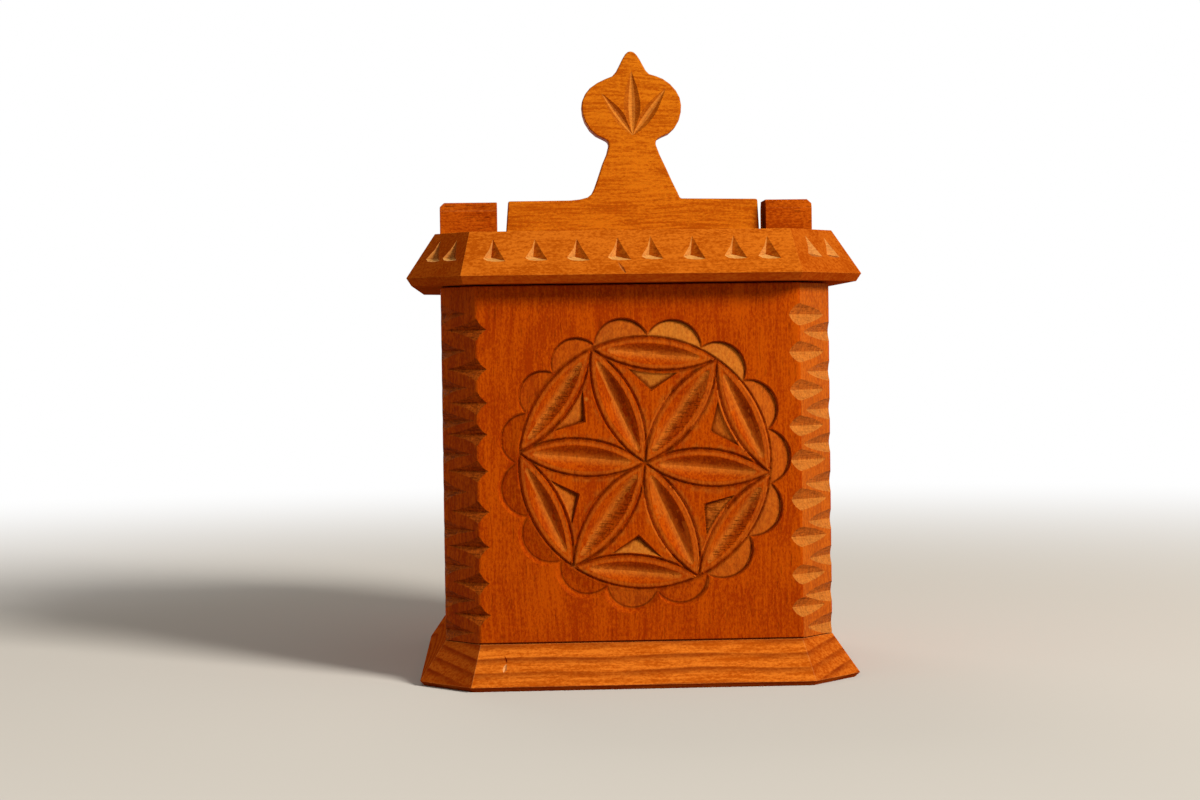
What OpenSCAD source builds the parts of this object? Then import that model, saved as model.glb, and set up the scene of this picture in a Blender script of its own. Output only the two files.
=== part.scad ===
// Carved wooden puzzle box: a square box with cut corners on a bevelled plinth, closed by a
// bevelled lid. A key board with a finial slides sideways in the lid. Under the lid it carries
// a cross bolt, whose ends slip below two catches and hold the lid down.
// Millimetres, +Z up, front is -Y, origin at the centre of the plinth's underside.

/* [Body] */
// Width and depth of the square body
body_w = 95; // [85:1:110]
// Thickness of the four wall boards
wall_t = 9; // [8:0.5:11]
// Height of the wall boards
wall_h = 86.2; // [78:0.2:110]
// Leg of the flat cut along each upright corner
corner_cut = 8.6; // [7:0.1:10]

/* [Plinth] */
// Thickness of the plinth board
base_h = 10.6; // [8:0.2:16]
// How far the plinth's foot stands out from the body
base_spread = 6.35; // [4:0.05:9]
// Leg of the corner cut at the plinth's foot
base_cut = 12.6; // [10:0.1:14]
// Size of the small bevel under the foot
foot_bevel = 1.2; // [0.6:0.1:1.8]

/* [Lid] */
// Thickness of the lid board
lid_t = 12.6; // [10:0.2:16]
// How far the lid's edge stands out from the body
lid_over = 8.1; // [6:0.1:12]
// How far the lid's flat top stands out from the body
lid_top_over = 1.1; // [0.4:0.1:3]
// Leg of the two left corner cuts at the edge
lid_cut_left = 13.3; // [11:0.1:15]
// Leg of the two right corner cuts at the edge
lid_cut_right = 16.8; // [14:0.1:18]
// Leg of the two left corner cuts on the top
lid_top_cut_left = 8.5; // [7:0.1:10]
// Leg of the two right corner cuts on the top
lid_top_cut_right = 11.8; // [10:0.1:13]
// Height of the small bevel under the lid's edge
lid_lip = 1.9; // [1.2:0.1:2.6]
// Inset of the small bevel under the lid's edge
lid_lip_in = 1.2; // [0.6:0.1:1.8]
// Seating gap between the walls and the lid
lid_seat = 0.3; // [0.2:0.05:0.4]
// Width of the two cleats under the lid
cleat_w = 8; // [6:0.5:9]
// Thickness of the two cleats under the lid
cleat_t = 6; // [5:0.5:8]
// Clearance between the cleats and the walls
cleat_clear = 0.4; // [0.3:0.05:0.6]

/* [Key board] */
// Thickness of the key board
board_t = 6; // [5:0.2:7]
// How much each end of the bar leans in
bar_lean = 0.7; // [0.3:0.1:1.5]
// Height of the key board's bar above the lid
bar_h = 10.3; // [8:0.1:13]
// Width of the neck's foot
neck_foot_w = 23.6; // [20:0.2:27]
// Width of the neck's top
neck_top_w = 12.2; // [10:0.2:14]
// Height of the neck
neck_h = 15.7; // [13:0.1:19]
// Radius of the two lobes of the bulb
bulb_r = 8.3; // [7.5:0.1:9]
// Distance of each lobe's centre from the middle
bulb_half = 4.7; // [4:0.1:5.5]
// Width of the pointed tip's foot
tip_w = 9.2; // [8:0.1:9.4]
// Height of the pointed tip
tip_h = 6.5; // [5:0.1:9]
// Width of the tenon that passes through the lid
tenon_w = 30; // [24:0.5:34]
// Clearance around the tenon and under the board
slide_clear = 0.3; // [0.2:0.05:0.4]

/* [Slide] */
// Travel to the left, which locks the lid
slide_left = 2; // [1.5:0.1:2.5]
// Free travel to the right
slide_right = 1.2; // [0.6:0.1:1.6]
// Clearance left at each end of the travel
stop_gap = 0.1; // [0.05:0.05:0.2]

/* [End blocks] */
// Width of the left end block
left_block_w = 14.8; // [11:0.1:16]
// Width of the right end block
right_block_w = 12; // [10:0.1:15]
// Distance of the end blocks from the edge of the lid's flat top
block_inset = 0.3; // [0.1:0.1:2]
// Depth of the end blocks, front to back
block_d = 12; // [10:0.5:16]
// Height of the end blocks
block_h = 9.9; // [8:0.1:12]
// Bevel along the top edges of the end blocks
block_bevel = 2.2; // [1:0.1:2.8]

/* [Bolt and catches] */
// Width of the cross bolt
bolt_w = 16; // [13:0.5:18]
// Thickness of the cross bolt's arms
bolt_t = 6; // [5:0.5:8]
// Depth of the bolt's hub, front to back
hub_d = 20; // [14:0.5:26]
// Width of the tenon's narrow end, which the bolt holds
stub_w = 8; // [6:0.5:9]
// Gap between the bolt's ends and the walls
bolt_gap = 1; // [0.6:0.1:2]
// Height of the catch blocks
catch_h = 5.6; // [4.5:0.1:7]
// Depth of the catch blocks, from the wall
catch_d = 7; // [5:0.5:9]
// Space between the catch blocks and the lid's cleats
catch_end_gap = 2.1; // [1:0.1:4]
// Clearance between the bolt and the catches
catch_clear = 0.3; // [0.2:0.05:0.4]

/* [Pegs] */
// Diameter of the pegs that hold the plinth
base_peg_d = 3.4; // [2.5:0.1:4]
// Depth of the plinth's pegs in the walls
base_peg_in = 8; // [6:0.5:12]
// Distance of the plinth's pegs from the wall's middle
base_peg_x = 22; // [15:1:28]
// Diameter of the pegs in the lid
lid_peg_d = 3; // [2:0.1:3.6]
// Depth of the pegs in the lid board
lid_peg_in = 5; // [4:0.5:7]
// Depth of the pegs in the end blocks
block_peg_in = 5; // [3:0.5:6]
// Distance of the block pegs from the block's middle
block_peg_x = 3.2; // [2.6:0.1:3.6]
// Distance of the outer cleat pegs from the cleat's middle
cleat_peg_y = 27; // [18:1:30]
// Diameter of the pin through the bolt and the tenon
pin_d = 3; // [2:0.1:3.5]
// Glue gap around each peg
glue_gap = 0.05; // [0.03:0.01:0.1]

/* [Corner carving] */
// Number of notches along each corner edge
notch_count = 9; // [5:1:9]
// Spacing of the notches
notch_pitch = 8.9; // [8:0.1:9.4]
// Distance from the wall's top to the first notch
notch_first = 7.8; // [6:0.1:9]
// Height of a notch on the corner edge
notch_h = 4.8; // [3:0.1:5.4]
// Reach of a notch across the wall's face
notch_face = 2.5; // [1.5:0.1:3]
// Reach of a notch across the cut corner
notch_tail = 9.8; // [6:0.1:10.4]

/* [Rosette carving] */
// Radius of the six-petal rosette
rosette_r = 30.4; // [24:0.2:31]
// Distance of the rosette from the wall's middle
rosette_x = 1.2; // [-1.5:0.1:1.5]
// Turn of the rosette
rosette_turn = -5.5; // [-30:0.5:30]
// Width of the raised border along each petal
petal_border = 1.1; // [0.8:0.1:1.6]
// Depth of the petals
petal_depth = 1; // [0.6:0.1:1.6]
// Depth of the triangular pockets
pocket_depth = 2; // [1:0.1:2.6]
// Distance of each pocket's point from the middle
pocket_from = 17.5; // [14:0.1:18]
// Half the width of each pocket
pocket_half = 5.8; // [3:0.1:6]
// Number of scallops around the rosette
scallop_count = 15; // [9:1:15]
// Turn of the scallops against the petals
scallop_turn = 7; // [-12:0.5:12]
// Radius of the scallops
scallop_r = 6; // [4.5:0.1:6]
// How far inside the rosette's edge the scallops are centred
scallop_inset = 1.2; // [0.5:0.1:2]
// Depth of the scallops
scallop_depth = 1.8; // [1:0.1:2.2]

/* [Hidden] */
$fn = 96;

far = 200;                                  // reach of cutting shapes
half = body_w / 2;
inner = half - wall_t;                      // inner face of a wall
arris = half - corner_cut;                  // edge between a wall's face and the cut corner
mid_cut = half - corner_cut / 2;            // middle of the cut corner
wall_mid = half - wall_t / 2;
wall_top = base_h + wall_h;

base_half = half + base_spread;
lid_z = wall_top + lid_seat;                // underside of the lid
lid_top = lid_z + lid_t;
lid_half = half + lid_over;
lid_top_half = half + lid_top_over;
cleat_out = inner - cleat_clear;
cleat_mid = cleat_out - cleat_w / 2;

left_stop = left_block_w + block_inset - lid_top_half;
right_stop = lid_top_half - block_inset - right_block_w;
left_block_x = left_stop - left_block_w / 2;
right_block_x = right_stop + right_block_w / 2;

bar_len = right_stop - left_stop - slide_left - slide_right - 2 * stop_gap;
board_x = left_stop + stop_gap + slide_left + bar_len / 2;      // centre line when unlocked
board_z = lid_top + slide_clear;            // foot of the key board
bar_top = lid_top + bar_h;
neck_top = bar_top + neck_h;
neck_rise = sqrt(bulb_r * bulb_r - pow(neck_top_w / 2 - bulb_half, 2));
bulb_z = neck_top + neck_rise;
tip_z = bulb_z + sqrt(bulb_r * bulb_r - pow(tip_w / 2 - bulb_half, 2));

hub_top = lid_z - slide_clear;
catch_top = wall_top;
catch_z = catch_top - catch_h;
bolt_top = catch_z - catch_clear;
bolt_z = bolt_top - bolt_t;
bolt_half = inner - bolt_gap;
catch_edge = board_x - bolt_w / 2 - catch_clear;
stop_edge = board_x + bolt_w / 2 + slide_right + catch_clear;
catch_far = cleat_mid - cleat_w / 2 - catch_end_gap;

rosette_z = base_h + wall_h / 2;
scallop_at = rosette_r - scallop_inset;     // circle on which the scallops are centred
notch_depth = notch_face * notch_tail * sin(45) / notch_run();

body_colour = "#b4551e";
plinth_colour = "#a64a1a";
lid_colour = "#b85a20";
key_colour = "#c46a2a";
inner_colour = "#c98a4e";
peg_colour = "#d9a566";

function polar(r, a) = [r * cos(a), r * sin(a)];

// Plan length of a notch's straight valley, from the wall's face to the cut corner
function notch_run() = norm([notch_face + notch_tail * cos(45), notch_tail * sin(45)]);

// Distance of a cut corner's plane from the middle, for half width a and cut leg c
function diagonal(a, c) = (2 * a - c) / sqrt(2);

// A long bar along Y whose outline has left and right half widths at each height
module profile_bar(levels, left, right) {
    count = len(levels);
    outline = [
        for (i = [0 : count - 1]) [right[i], levels[i]],
        for (i = [count - 1 : -1 : 0]) [-left[i], levels[i]]
    ];
    translate([0, far / 2, 0])
        rotate([90, 0, 0])
            linear_extrude(height = far)
                polygon(outline);
}

// A board with bevelled sides and bevelled cut corners
module bevelled_board(levels, halves, left_cuts, right_cuts) {
    left = [for (i = [0 : len(levels) - 1]) diagonal(halves[i], left_cuts[i])];
    right = [for (i = [0 : len(levels) - 1]) diagonal(halves[i], right_cuts[i])];
    intersection() {
        profile_bar(levels, halves, halves);
        rotate([0, 0, 90])
            profile_bar(levels, halves, halves);
        rotate([0, 0, 45])
            profile_bar(levels, left, right);
        rotate([0, 0, -45])
            profile_bar(levels, left, right);
    }
}

// One V-shaped notch over the front right edge, at height z
module notch(z) {
    heading = atan2(notch_tail * sin(45), notch_face + notch_tail * cos(45));
    mouth = 2 * notch_depth;                // how far the V opens, past the edge
    rise = mouth * notch_h / 2 / notch_depth;
    translate([arris - notch_face, -half, z])
        rotate([90, 0, heading + 90])
            translate([0, 0, -1])
                linear_extrude(height = notch_run() + 2)
                    polygon([[0, 0], [-mouth, rise], [-mouth, -rise]]);
}

// Both rows of notches on the front right corner
module corner_notches() {
    for (i = [0 : notch_count - 1]) {
        z = wall_top - notch_first - i * notch_pitch;
        notch(z);
        mirror([1, 1, 0])
            notch(z - notch_pitch / 2);
    }
}

// The outline of a petal between two circles of the rosette's radius
module lens(first, second) {
    intersection() {
        translate(first)
            circle(rosette_r - petal_border);
        translate(second)
            circle(rosette_r - petal_border);
    }
}

module petals() {
    for (a = [0 : 60 : 300]) {
        lens(polar(rosette_r, a - 60), polar(rosette_r, a + 60));
        lens([0, 0], polar(rosette_r * sqrt(3), a + 30));
    }
}

module pockets() {
    pocket_out = rosette_r * (sqrt(3) - 1) + petal_border;
    for (a = [30 : 60 : 330])
        difference() {
            rotate(a)
                polygon([[pocket_from, 0], [pocket_out, pocket_half], [pocket_out, -pocket_half]]);
            translate(polar(rosette_r * sqrt(3), a))
                circle(rosette_r + petal_border / 2);
        }
}

module scallops() {
    difference() {
        for (i = [0 : scallop_count - 1])
            translate(polar(scallop_at, scallop_turn + i * 360 / scallop_count))
                circle(scallop_r);
        circle(rosette_r + petal_border);
    }
}

// A flat carving, sunk into the front wall's face to the given depth
module sunk(depth) {
    translate([rosette_x, depth - half, rosette_z])
        rotate([90, 0, 0])
            linear_extrude(height = depth + 1)
                rotate(rosette_turn)
                    children();
}

module peg(d, length) {
    cylinder(d = d, h = length);
}

// Places the two pegs of the front wall
module at_wall_pegs() {
    for (x = [-base_peg_x, base_peg_x])
        translate([x, -wall_mid, 0])
            children();
}

// The front wall board, mitred at both ends, carved on its face and its cut corners
module wall_board() {
    difference() {
        translate([0, 0, base_h])
            linear_extrude(height = wall_h)
                polygon([
                    [-arris, -half], [arris, -half], [mid_cut, -mid_cut],
                    [inner, -inner], [-inner, -inner], [-mid_cut, -mid_cut]
                ]);
        sunk(petal_depth)
            petals();
        sunk(pocket_depth)
            pockets();
        sunk(scallop_depth)
            scallops();
        corner_notches();
        rotate([0, 0, -90])
            corner_notches();
        at_wall_pegs()
            peg(base_peg_d + 2 * glue_gap, base_h + base_peg_in);
    }
}

module front_wall() {
    color(body_colour)
        wall_board();
}

module back_wall() {
    color(body_colour)
        rotate([0, 0, 180])
            wall_board();
}

module left_wall() {
    color(body_colour)
        rotate([0, 0, -90])
            wall_board();
}

module right_wall() {
    color(body_colour)
        rotate([0, 0, 90])
            wall_board();
}

module base_plate() {
    cuts = [base_cut - foot_bevel / 2, base_cut, corner_cut];
    color(plinth_colour)
        difference() {
            bevelled_board(
                [0, foot_bevel, base_h],
                [base_half - foot_bevel, base_half, half],
                cuts, cuts);
            for (turn = [0 : 90 : 270])
                rotate([0, 0, turn])
                    at_wall_pegs()
                        translate([0, 0, -1])
                            peg(base_peg_d + 2 * glue_gap, base_h + 2);
        }
}

module base_pegs() {
    color(peg_colour)
        for (turn = [0 : 90 : 270])
            rotate([0, 0, turn])
                at_wall_pegs()
                    peg(base_peg_d, base_h + base_peg_in - glue_gap);
}

// A block on the front wall's inner face, from x = low to x = high
module wall_block(low, high) {
    translate([low, -inner, catch_z])
        cube([high - low, catch_d, catch_h]);
}

module front_catch() {
    color(inner_colour)
        wall_block(-catch_far, catch_edge);
}

module front_stop() {
    color(inner_colour)
        wall_block(stop_edge, catch_far);
}

module back_catch() {
    color(inner_colour)
        mirror([0, 1, 0])
            wall_block(-catch_far, catch_edge);
}

module back_stop() {
    color(inner_colour)
        mirror([0, 1, 0])
            wall_block(stop_edge, catch_far);
}

module at_block_pegs() {
    for (x = [left_block_x, right_block_x])
        for (side = [-1, 1])
            translate([x + side * block_peg_x, 0, lid_top - lid_peg_in])
                children();
}

module at_cleat_pegs() {
    for (x = [-cleat_mid, cleat_mid])
        for (y = [-cleat_peg_y, 0, cleat_peg_y])
            translate([x, y, lid_z - cleat_t])
                children();
}

module lid_board() {
    slot_w = tenon_w + slide_left + slide_right + 2 * slide_clear;
    slot_x = board_x - tenon_w / 2 - slide_left - slide_clear;
    slot_d = board_t + 2 * slide_clear;
    color(lid_colour)
        difference() {
            bevelled_board(
                [lid_z, lid_z + lid_lip, lid_top],
                [lid_half - lid_lip_in, lid_half, lid_top_half],
                [lid_cut_left - lid_lip_in / 2, lid_cut_left, lid_top_cut_left],
                [lid_cut_right - lid_lip_in / 2, lid_cut_right, lid_top_cut_right]);
            translate([slot_x, -slot_d / 2, lid_z - 1])
                cube([slot_w, slot_d, lid_t + 2]);
            at_block_pegs()
                peg(lid_peg_d + 2 * glue_gap, lid_peg_in + 1);
            at_cleat_pegs()
                peg(lid_peg_d + 2 * glue_gap, cleat_t + lid_peg_in);
        }
}

module cleat(side) {
    difference() {
        translate([side * cleat_mid - cleat_w / 2, -cleat_out, lid_z - cleat_t])
            cube([cleat_w, 2 * cleat_out, cleat_t]);
        at_cleat_pegs()
            translate([0, 0, -1])
                peg(lid_peg_d + 2 * glue_gap, cleat_t + 2);
    }
}

module left_cleat() {
    color(inner_colour)
        cleat(-1);
}

module right_cleat() {
    color(inner_colour)
        cleat(1);
}

module cleat_pegs() {
    color(peg_colour)
        at_cleat_pegs()
            peg(lid_peg_d, cleat_t + lid_peg_in - glue_gap);
}

// An end block with its long top edges and its outer top edge bevelled
module end_block(x, width, side) {
    d = block_d / 2;
    w = width / 2;
    top = lid_top + block_h;
    shoulder = top - block_bevel;
    difference() {
        intersection() {
            translate([x - w, 0, 0])
                rotate([90, 0, 90])
                    linear_extrude(height = width)
                        polygon([
                            [-d, lid_top], [d, lid_top], [d, shoulder],
                            [d - block_bevel / 2, top], [block_bevel / 2 - d, top], [-d, shoulder]
                        ]);
            translate([x, d, 0])
                rotate([90, 0, 0])
                    linear_extrude(height = block_d)
                        polygon([
                            [-side * w, lid_top], [side * w, lid_top],
                            [side * w, top - block_bevel / 2],
                            [side * (w - block_bevel / 2), top], [-side * w, top]
                        ]);
        }
        at_block_pegs()
            peg(lid_peg_d + 2 * glue_gap, lid_peg_in + block_peg_in);
    }
}

module left_end_block() {
    color(lid_colour)
        end_block(left_block_x, left_block_w, -1);
}

module right_end_block() {
    color(lid_colour)
        end_block(right_block_x, right_block_w, 1);
}

module block_pegs() {
    color(peg_colour)
        at_block_pegs()
            translate([0, 0, glue_gap])
                peg(lid_peg_d, lid_peg_in + block_peg_in - 2 * glue_gap);
}

// Straight-sided parts of the key board, as one outline from the bolt's underside to the tip
module board_outline() {
    foot = bar_len / 2;
    head = foot - bar_lean;
    neck_foot = neck_foot_w / 2;
    neck_head = neck_top_w / 2;
    polygon([
        [-stub_w / 2, bolt_z], [stub_w / 2, bolt_z], [stub_w / 2, hub_top],
        [tenon_w / 2, hub_top], [tenon_w / 2, board_z], [foot, board_z], [head, bar_top],
        [neck_foot, bar_top], [neck_head, neck_top], [neck_head, bulb_z],
        [-neck_head, bulb_z], [-neck_head, neck_top], [-neck_foot, bar_top],
        [-head, bar_top], [-foot, board_z], [-tenon_w / 2, board_z],
        [-tenon_w / 2, hub_top], [-stub_w / 2, hub_top]
    ]);
}

module finial_board() {
    color(key_colour)
        difference() {
            translate([board_x, board_t / 2, 0])
                rotate([90, 0, 0])
                    linear_extrude(height = board_t)
                        union() {
                            board_outline();
                            for (side = [-1, 1])
                                translate([side * bulb_half, bulb_z])
                                    circle(bulb_r);
                            polygon([
                                [-tip_w / 2, bulb_z], [tip_w / 2, bulb_z], [tip_w / 2, tip_z],
                                [0, tip_z + tip_h], [-tip_w / 2, tip_z]
                            ]);
                        }
            pin_shape(pin_d + 2 * glue_gap, bolt_w + 2);
        }
}

// The pin lies along X, through the bolt and the tenon's narrow end
module pin_shape(d, length) {
    translate([board_x - length / 2, 0, bolt_z + bolt_t / 2])
        rotate([0, 90, 0])
            cylinder(d = d, h = length);
}

module lock_bolt() {
    mortise_w = stub_w + 2 * glue_gap;
    mortise_d = board_t + 2 * glue_gap;
    color(inner_colour)
        difference() {
            union() {
                translate([board_x - bolt_w / 2, -bolt_half, bolt_z])
                    cube([bolt_w, 2 * bolt_half, bolt_t]);
                translate([board_x - bolt_w / 2, -hub_d / 2, bolt_top - 1])
                    cube([bolt_w, hub_d, hub_top - bolt_top + 1]);
            }
            translate([board_x - mortise_w / 2, -mortise_d / 2, bolt_z - 1])
                cube([mortise_w, mortise_d, hub_top - bolt_z + 2]);
            pin_shape(pin_d + 2 * glue_gap, bolt_w + 2);
        }
}

module bolt_pin() {
    color(peg_colour)
        pin_shape(pin_d, bolt_w);
}

base_plate();
front_wall();
back_wall();
left_wall();
right_wall();
front_catch();
front_stop();
back_catch();
back_stop();
base_pegs();
lid_board();
left_cleat();
right_cleat();
left_end_block();
right_end_block();
block_pegs();
cleat_pegs();
finial_board();
lock_bolt();
bolt_pin();
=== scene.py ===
"""Carved wooden puzzle box: chip-carved fruitwood body and lid, pine plinth, sliding key board.

Helper code works in millimetres; meshes are stored in metres.
"""
import math
import random

import bmesh
import bpy
import numpy as np
from mathutils import Matrix, Vector
from mathutils.geometry import delaunay_2d_cdt
from mathutils.kdtree import KDTree


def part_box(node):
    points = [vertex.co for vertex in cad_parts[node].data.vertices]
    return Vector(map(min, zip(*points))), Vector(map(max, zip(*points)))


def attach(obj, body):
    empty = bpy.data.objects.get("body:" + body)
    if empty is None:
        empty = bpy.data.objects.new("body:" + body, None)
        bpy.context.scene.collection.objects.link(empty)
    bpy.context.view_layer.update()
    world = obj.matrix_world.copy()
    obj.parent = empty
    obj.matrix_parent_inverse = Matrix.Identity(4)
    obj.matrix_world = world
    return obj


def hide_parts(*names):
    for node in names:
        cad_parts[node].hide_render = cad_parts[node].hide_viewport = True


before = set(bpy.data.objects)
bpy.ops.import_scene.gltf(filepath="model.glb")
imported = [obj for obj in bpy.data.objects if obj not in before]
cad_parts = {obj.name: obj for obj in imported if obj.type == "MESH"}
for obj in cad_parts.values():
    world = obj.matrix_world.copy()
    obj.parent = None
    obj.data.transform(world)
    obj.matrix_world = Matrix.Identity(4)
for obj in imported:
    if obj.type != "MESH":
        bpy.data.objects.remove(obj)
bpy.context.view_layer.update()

MM = 0.001
# How far from its middle a wood's tone runs before it is all pale or all deep
TONE_SPREAD = 0.145
# Roughness of a fresh knife cut
CUT_GLOSS = 0.62

# Body, as in the CAD part
HALF = 47.5
WALL_T = 9.0
CORNER_CUT = 8.6
BASE_TOP = 10.6
WALL_TOP = 96.8
ARRIS = HALF - CORNER_CUT
MID_CUT = HALF - CORNER_CUT / 2
INNER = HALF - WALL_T
WALL_WEAR = 0.45

# Lid, as in the CAD part
LID_EDGE_Z = 99.0
LID_TOP = 109.7
LID_EDGE = 55.6
LID_FLAT = 48.6
LID_CUTS = {-1: (13.3, 8.5), 1: (16.8, 11.8)}

# Edges that turn by more degrees than this stay crisp, on carved and on plain pieces
CARVED_CREASE = 28
PLAIN_CREASE = 40
# How much painted shade darkens the undersides and the low upright edges
UNDERSIDE_PAINTED_SHADE = 0.6
LOW_EDGE_PAINTED_SHADE = 0.5
# Width of the wear on the lid's, the plinth's and the key board's edges
BOARD_WEAR = 0.5


# ------------ small helpers

def add(tree, kind, inputs=None, **settings):
    """Adds a node. inputs maps a socket's name or number to a value or to another socket."""
    node = tree.nodes.new(kind)
    for key, value in settings.items():
        setattr(node, key, value)
    for key, value in (inputs or {}).items():
        if isinstance(value, bpy.types.NodeSocket):
            tree.links.new(value, node.inputs[key])
        else:
            node.inputs[key].default_value = value
    return node


def linear(code):
    """An sRGB hex colour as the linear colour that a shader takes."""
    channels = [int(code[i:i + 2], 16) / 255 for i in (1, 3, 5)]
    return tuple(c / 12.92 if c <= 0.04045 else ((c + 0.055) / 1.055) ** 2.4 for c in channels) + (1.0,)


def link(name, mesh):
    piece = bpy.data.objects.new(name, mesh)
    bpy.context.scene.collection.objects.link(piece)
    return piece


# Cutters and places, which are gone from the finished scene
SCAFFOLD = []


def help_with(name, mesh):
    """An object that only helps to cut."""
    SCAFFOLD.append(link(name, mesh))
    return SCAFFOLD[-1]


def mark(face, marks, value):
    """Gives all the corners of a face the same marks."""
    for loop in face.loop_indices:
        marks[loop].vector = value


def mesh_from(name, points, faces):
    """A mesh from points in millimetres."""
    mesh = bpy.data.meshes.new(name)
    mesh.from_pydata([tuple(c * MM for c in p) for p in points], [], faces)
    mesh.update()
    return mesh


def mesh_of(name, bm):
    mesh = bpy.data.meshes.new(name)
    bm.to_mesh(mesh)
    bm.free()
    return mesh


def band(one, two):
    """The corners of each face between two closed rings."""
    return [(one[i], one[i + 1 - len(one)], two[i + 1 - len(two)], two[i]) for i in range(len(one))]


def settle(piece):
    """Turns a piece's modifiers into its mesh."""
    graph = bpy.context.evaluated_depsgraph_get()
    mesh = bpy.data.meshes.new_from_object(piece.evaluated_get(graph), depsgraph=graph)
    piece.modifiers.clear()
    piece.data = mesh


def clear_slivers(piece):
    """Takes out faces with no area, which a cut leaves where it runs out."""
    bm = bmesh.new()
    bm.from_mesh(piece.data)
    bmesh.ops.dissolve_degenerate(bm, dist=0.001 * MM, edges=bm.edges)
    bm.to_mesh(piece.data)
    bm.free()


def smooth(piece, degrees):
    """Shades a piece smooth, with a crisp line where a knife cut meets the board's own face."""
    mesh = piece.data
    mesh.polygons.foreach_set("use_smooth", [True] * len(mesh.polygons))
    mesh.set_sharp_from_angle(angle=math.radians(degrees))
    if "chip" in mesh.attributes:
        chip = [item.value for item in mesh.attributes["chip"].data]
        beside = {}
        for face in mesh.polygons:
            for edge in face.edge_keys:
                beside.setdefault(edge, set()).add(chip[face.index])
        for edge in mesh.edges:
            if len(beside[edge.key]) > 1:
                edge.use_edge_sharp = True
    weight = piece.modifiers.new("weight", "WEIGHTED_NORMAL")
    weight.keep_sharp = True
    weight.weight = 80
    settle(piece)


def finish_piece(piece, body, nodes, material, crease=CARVED_CREASE):
    """Shades a piece and puts it in the place of its CAD nodes."""
    smooth(piece, crease)
    if not piece.data.materials:
        piece.data.materials.append(material)
    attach(piece, body)
    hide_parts(*nodes)


def worn_copy(name, node, width, segments=3, wear_and_highlight=0.4, corners=(0.0, 0.0), rim=0.0, ends=0.0):
    """A copy of a CAD solid whose sharp edges are rubbed round and pale, the pale also painting the edges' highlight.
    Its underside and its upright sides below the height rim are painted darker, as shade. So may its cut corners,
    left and right, and its ends be, since end grain drinks more stain; the left corners' extra darkness and the
    ends' darkness are also painted shade."""
    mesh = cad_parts[node].data.copy()
    mesh.materials.clear()
    bm = bmesh.new()
    bm.from_mesh(mesh)
    bmesh.ops.remove_doubles(bm, verts=bm.verts, dist=0.002 * MM)
    bmesh.ops.dissolve_limit(
        bm, angle_limit=math.radians(0.5), verts=bm.verts, edges=bm.edges, use_dissolve_boundaries=False)
    bm.to_mesh(mesh)
    bm.free()
    piece = link(name, mesh)
    # the second slot marks the faces that the wear makes
    mesh.materials.append(None)
    mesh.materials.append(None)
    wear_edges(piece, width, segments, 25).material = 1
    settle(piece)
    clear_slivers(piece)
    mesh = piece.data
    marks = np.zeros((len(mesh.loops), 3), np.float32)
    for face in mesh.polygons:
        out = face.normal
        # end grain on the cut corners drinks more stain; a darker left-hand value is painted shade
        is_corner = min(abs(out.x), abs(out.y)) > 0.35 and abs(out.z) < 0.9
        value = (0.0, corners[int(face.center.x > 0)] if is_corner else 0.0, 0.0)
        # undersides are painted darker, as shade
        if out.z < -0.25:
            value = (0.0, UNDERSIDE_PAINTED_SHADE, 0.0)
        elif face.material_index == 1:
            # rubbed edges are painted pale, which also stands for their highlight
            value = (wear_and_highlight, 0.0, 0.0)
        # upright sides below the rim are painted darker, as shade
        elif abs(out.z) < 0.05 and face.center.z < rim * MM:
            value = (0.0, LOW_EDGE_PAINTED_SHADE, 0.0)
        # end faces: end grain drinks more stain, and their darkness is also painted shade
        elif abs(out.x) > 0.75 and ends:
            value = (0.0, ends, 0.0)
        for loop in face.loop_indices:
            marks[loop] = value
        face.material_index = 0
    layer = mesh.attributes.new("carving", "FLOAT_VECTOR", "CORNER")
    layer.data.foreach_set("vector", marks.ravel())
    mesh.materials.clear()
    return piece


def wear_edges(piece, width, segments, degrees):
    """Rounds the edges that turn by more than degrees, over a width in millimetres."""
    wear = piece.modifiers.new("wear", "BEVEL")
    wear.width = width * MM
    wear.segments = segments
    wear.limit_method = "ANGLE"
    wear.angle_limit = math.radians(degrees)
    wear.use_clamp_overlap = True
    return wear


def plain_piece(name, node, body, material, width=0.4, segments=3, wear_and_highlight=0.4, ends=0.0):
    """A planed piece that has only its CAD solid's shape, with worn edges."""
    piece = worn_copy(name, node, width, segments, wear_and_highlight, ends=ends)
    finish_piece(piece, body, [node], material, PLAIN_CREASE)


# ------------ materials

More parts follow.
